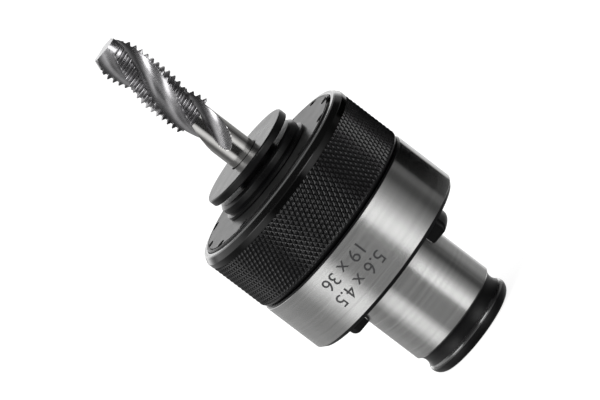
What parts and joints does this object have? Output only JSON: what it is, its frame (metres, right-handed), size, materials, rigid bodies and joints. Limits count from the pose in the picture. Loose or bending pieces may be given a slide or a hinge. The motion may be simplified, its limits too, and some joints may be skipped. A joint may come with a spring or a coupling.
{
  "type": "tapping collet",
  "caption": "Quick-change tapping collet with ball-lock shank, drive lugs, ground drum, knurled ring, torque nut, push-in release sleeve and a spiral-flute tap.",
  "frame": {"origin": "centre of the shank's rear end face, on which the collet stands", "axes": "+Z along the tool axis to the tap's point; the two drive lugs lie along +X and -X"},
  "size_m": [0.0362, 0.0362, 0.0786],
  "materials": {
    "ground_steel": "satin",
    "black_oxide": "satin",
    "spring_steel": "satin",
    "ball_steel": "polished",
    "high_speed_steel": "gloss"
  },
  "bodies": {
    "drive": {"drive_body": "ground_steel", "knurled_ring": "black_oxide", "hub_thrust_washer": "ground_steel", "disc_spring_1": "spring_steel", "disc_spring_2": "spring_steel", "disc_spring_3": "spring_steel", "disc_spring_4": "spring_steel", "disc_spring_5": "spring_steel", "disc_spring_6": "spring_steel"},
    "tap_holder": {"tap_holder": "black_oxide", "clutch_balls": "ball_steel", "hub_snap_ring": "spring_steel", "front_collar": "black_oxide", "release_spring": "spring_steel"},
    "release_sleeve": {"release_sleeve": "black_oxide"},
    "clamp_ball_1": {"clamp_ball_1": "ball_steel"},
    "clamp_ball_2": {"clamp_ball_2": "ball_steel"},
    "clamp_ball_3": {"clamp_ball_3": "ball_steel"},
    "tap": {"tap": "high_speed_steel"},
    "pressure_plate": {"pressure_plate": "ground_steel"},
    "spring_seat": {"spring_seat": "ground_steel"},
    "adjusting_nut": {"adjusting_nut": "black_oxide", "nut_lock_ring": "spring_steel"}
  },
  "joints": [
    {"name": "clutch_turn", "type": "hinge", "parent": "drive", "child": "tap_holder", "pos_m": [0, 0, 0.0238], "axis": [0, 0, 1], "continuous": true},
    {"name": "release_push", "type": "slide", "parent": "tap_holder", "child": "release_sleeve", "axis": [0, 0, -1], "range_m": [0, 0.00085], "stiffness_N_per_m": 3000, "deforming": ["release_spring"]},
    {"name": "clamp_ball_1_out", "type": "slide", "parent": "tap_holder", "child": "clamp_ball_1", "axis": [0, 1, 0], "range_m": [0, 0.00043]},
    {"name": "clamp_ball_2_out", "type": "slide", "parent": "tap_holder", "child": "clamp_ball_2", "axis": [-0.866, -0.5, 0], "range_m": [0, 0.00043]},
    {"name": "clamp_ball_3_out", "type": "slide", "parent": "tap_holder", "child": "clamp_ball_3", "axis": [0.866, -0.5, 0], "range_m": [0, 0.00043]},
    {"name": "tap_pull", "type": "slide", "parent": "tap_holder", "child": "tap", "axis": [0, 0, 1], "range_m": [0, 0.037]},
    {"name": "plate_lift", "type": "slide", "parent": "drive", "child": "pressure_plate", "axis": [0, 0, 1], "range_m": [0, 0.0008], "stiffness_N_per_m": 300000, "deforming": ["disc_spring_1", "disc_spring_2", "disc_spring_3", "disc_spring_4", "disc_spring_5", "disc_spring_6"]},
    {"name": "torque_seat", "type": "slide", "parent": "drive", "child": "spring_seat", "axis": [0, 0, 1], "range_m": [-0.00151, 0]},
    {"name": "torque_nut", "type": "hinge", "parent": "spring_seat", "child": "adjusting_nut", "pos_m": [0, 0, 0.0416], "axis": [0, 0, 1], "range_deg": [-360, 0]}
  ],
  "couplings": [
    {"joint": "torque_seat", "follows": "torque_nut", "m_per_rad": 0.00023873},
    {"joint": "clamp_ball_1_out", "follows": "release_push", "ratio": 0.5},
    {"joint": "clamp_ball_2_out", "follows": "release_push", "ratio": 0.5},
    {"joint": "clamp_ball_3_out", "follows": "release_push", "ratio": 0.5}
  ]
}
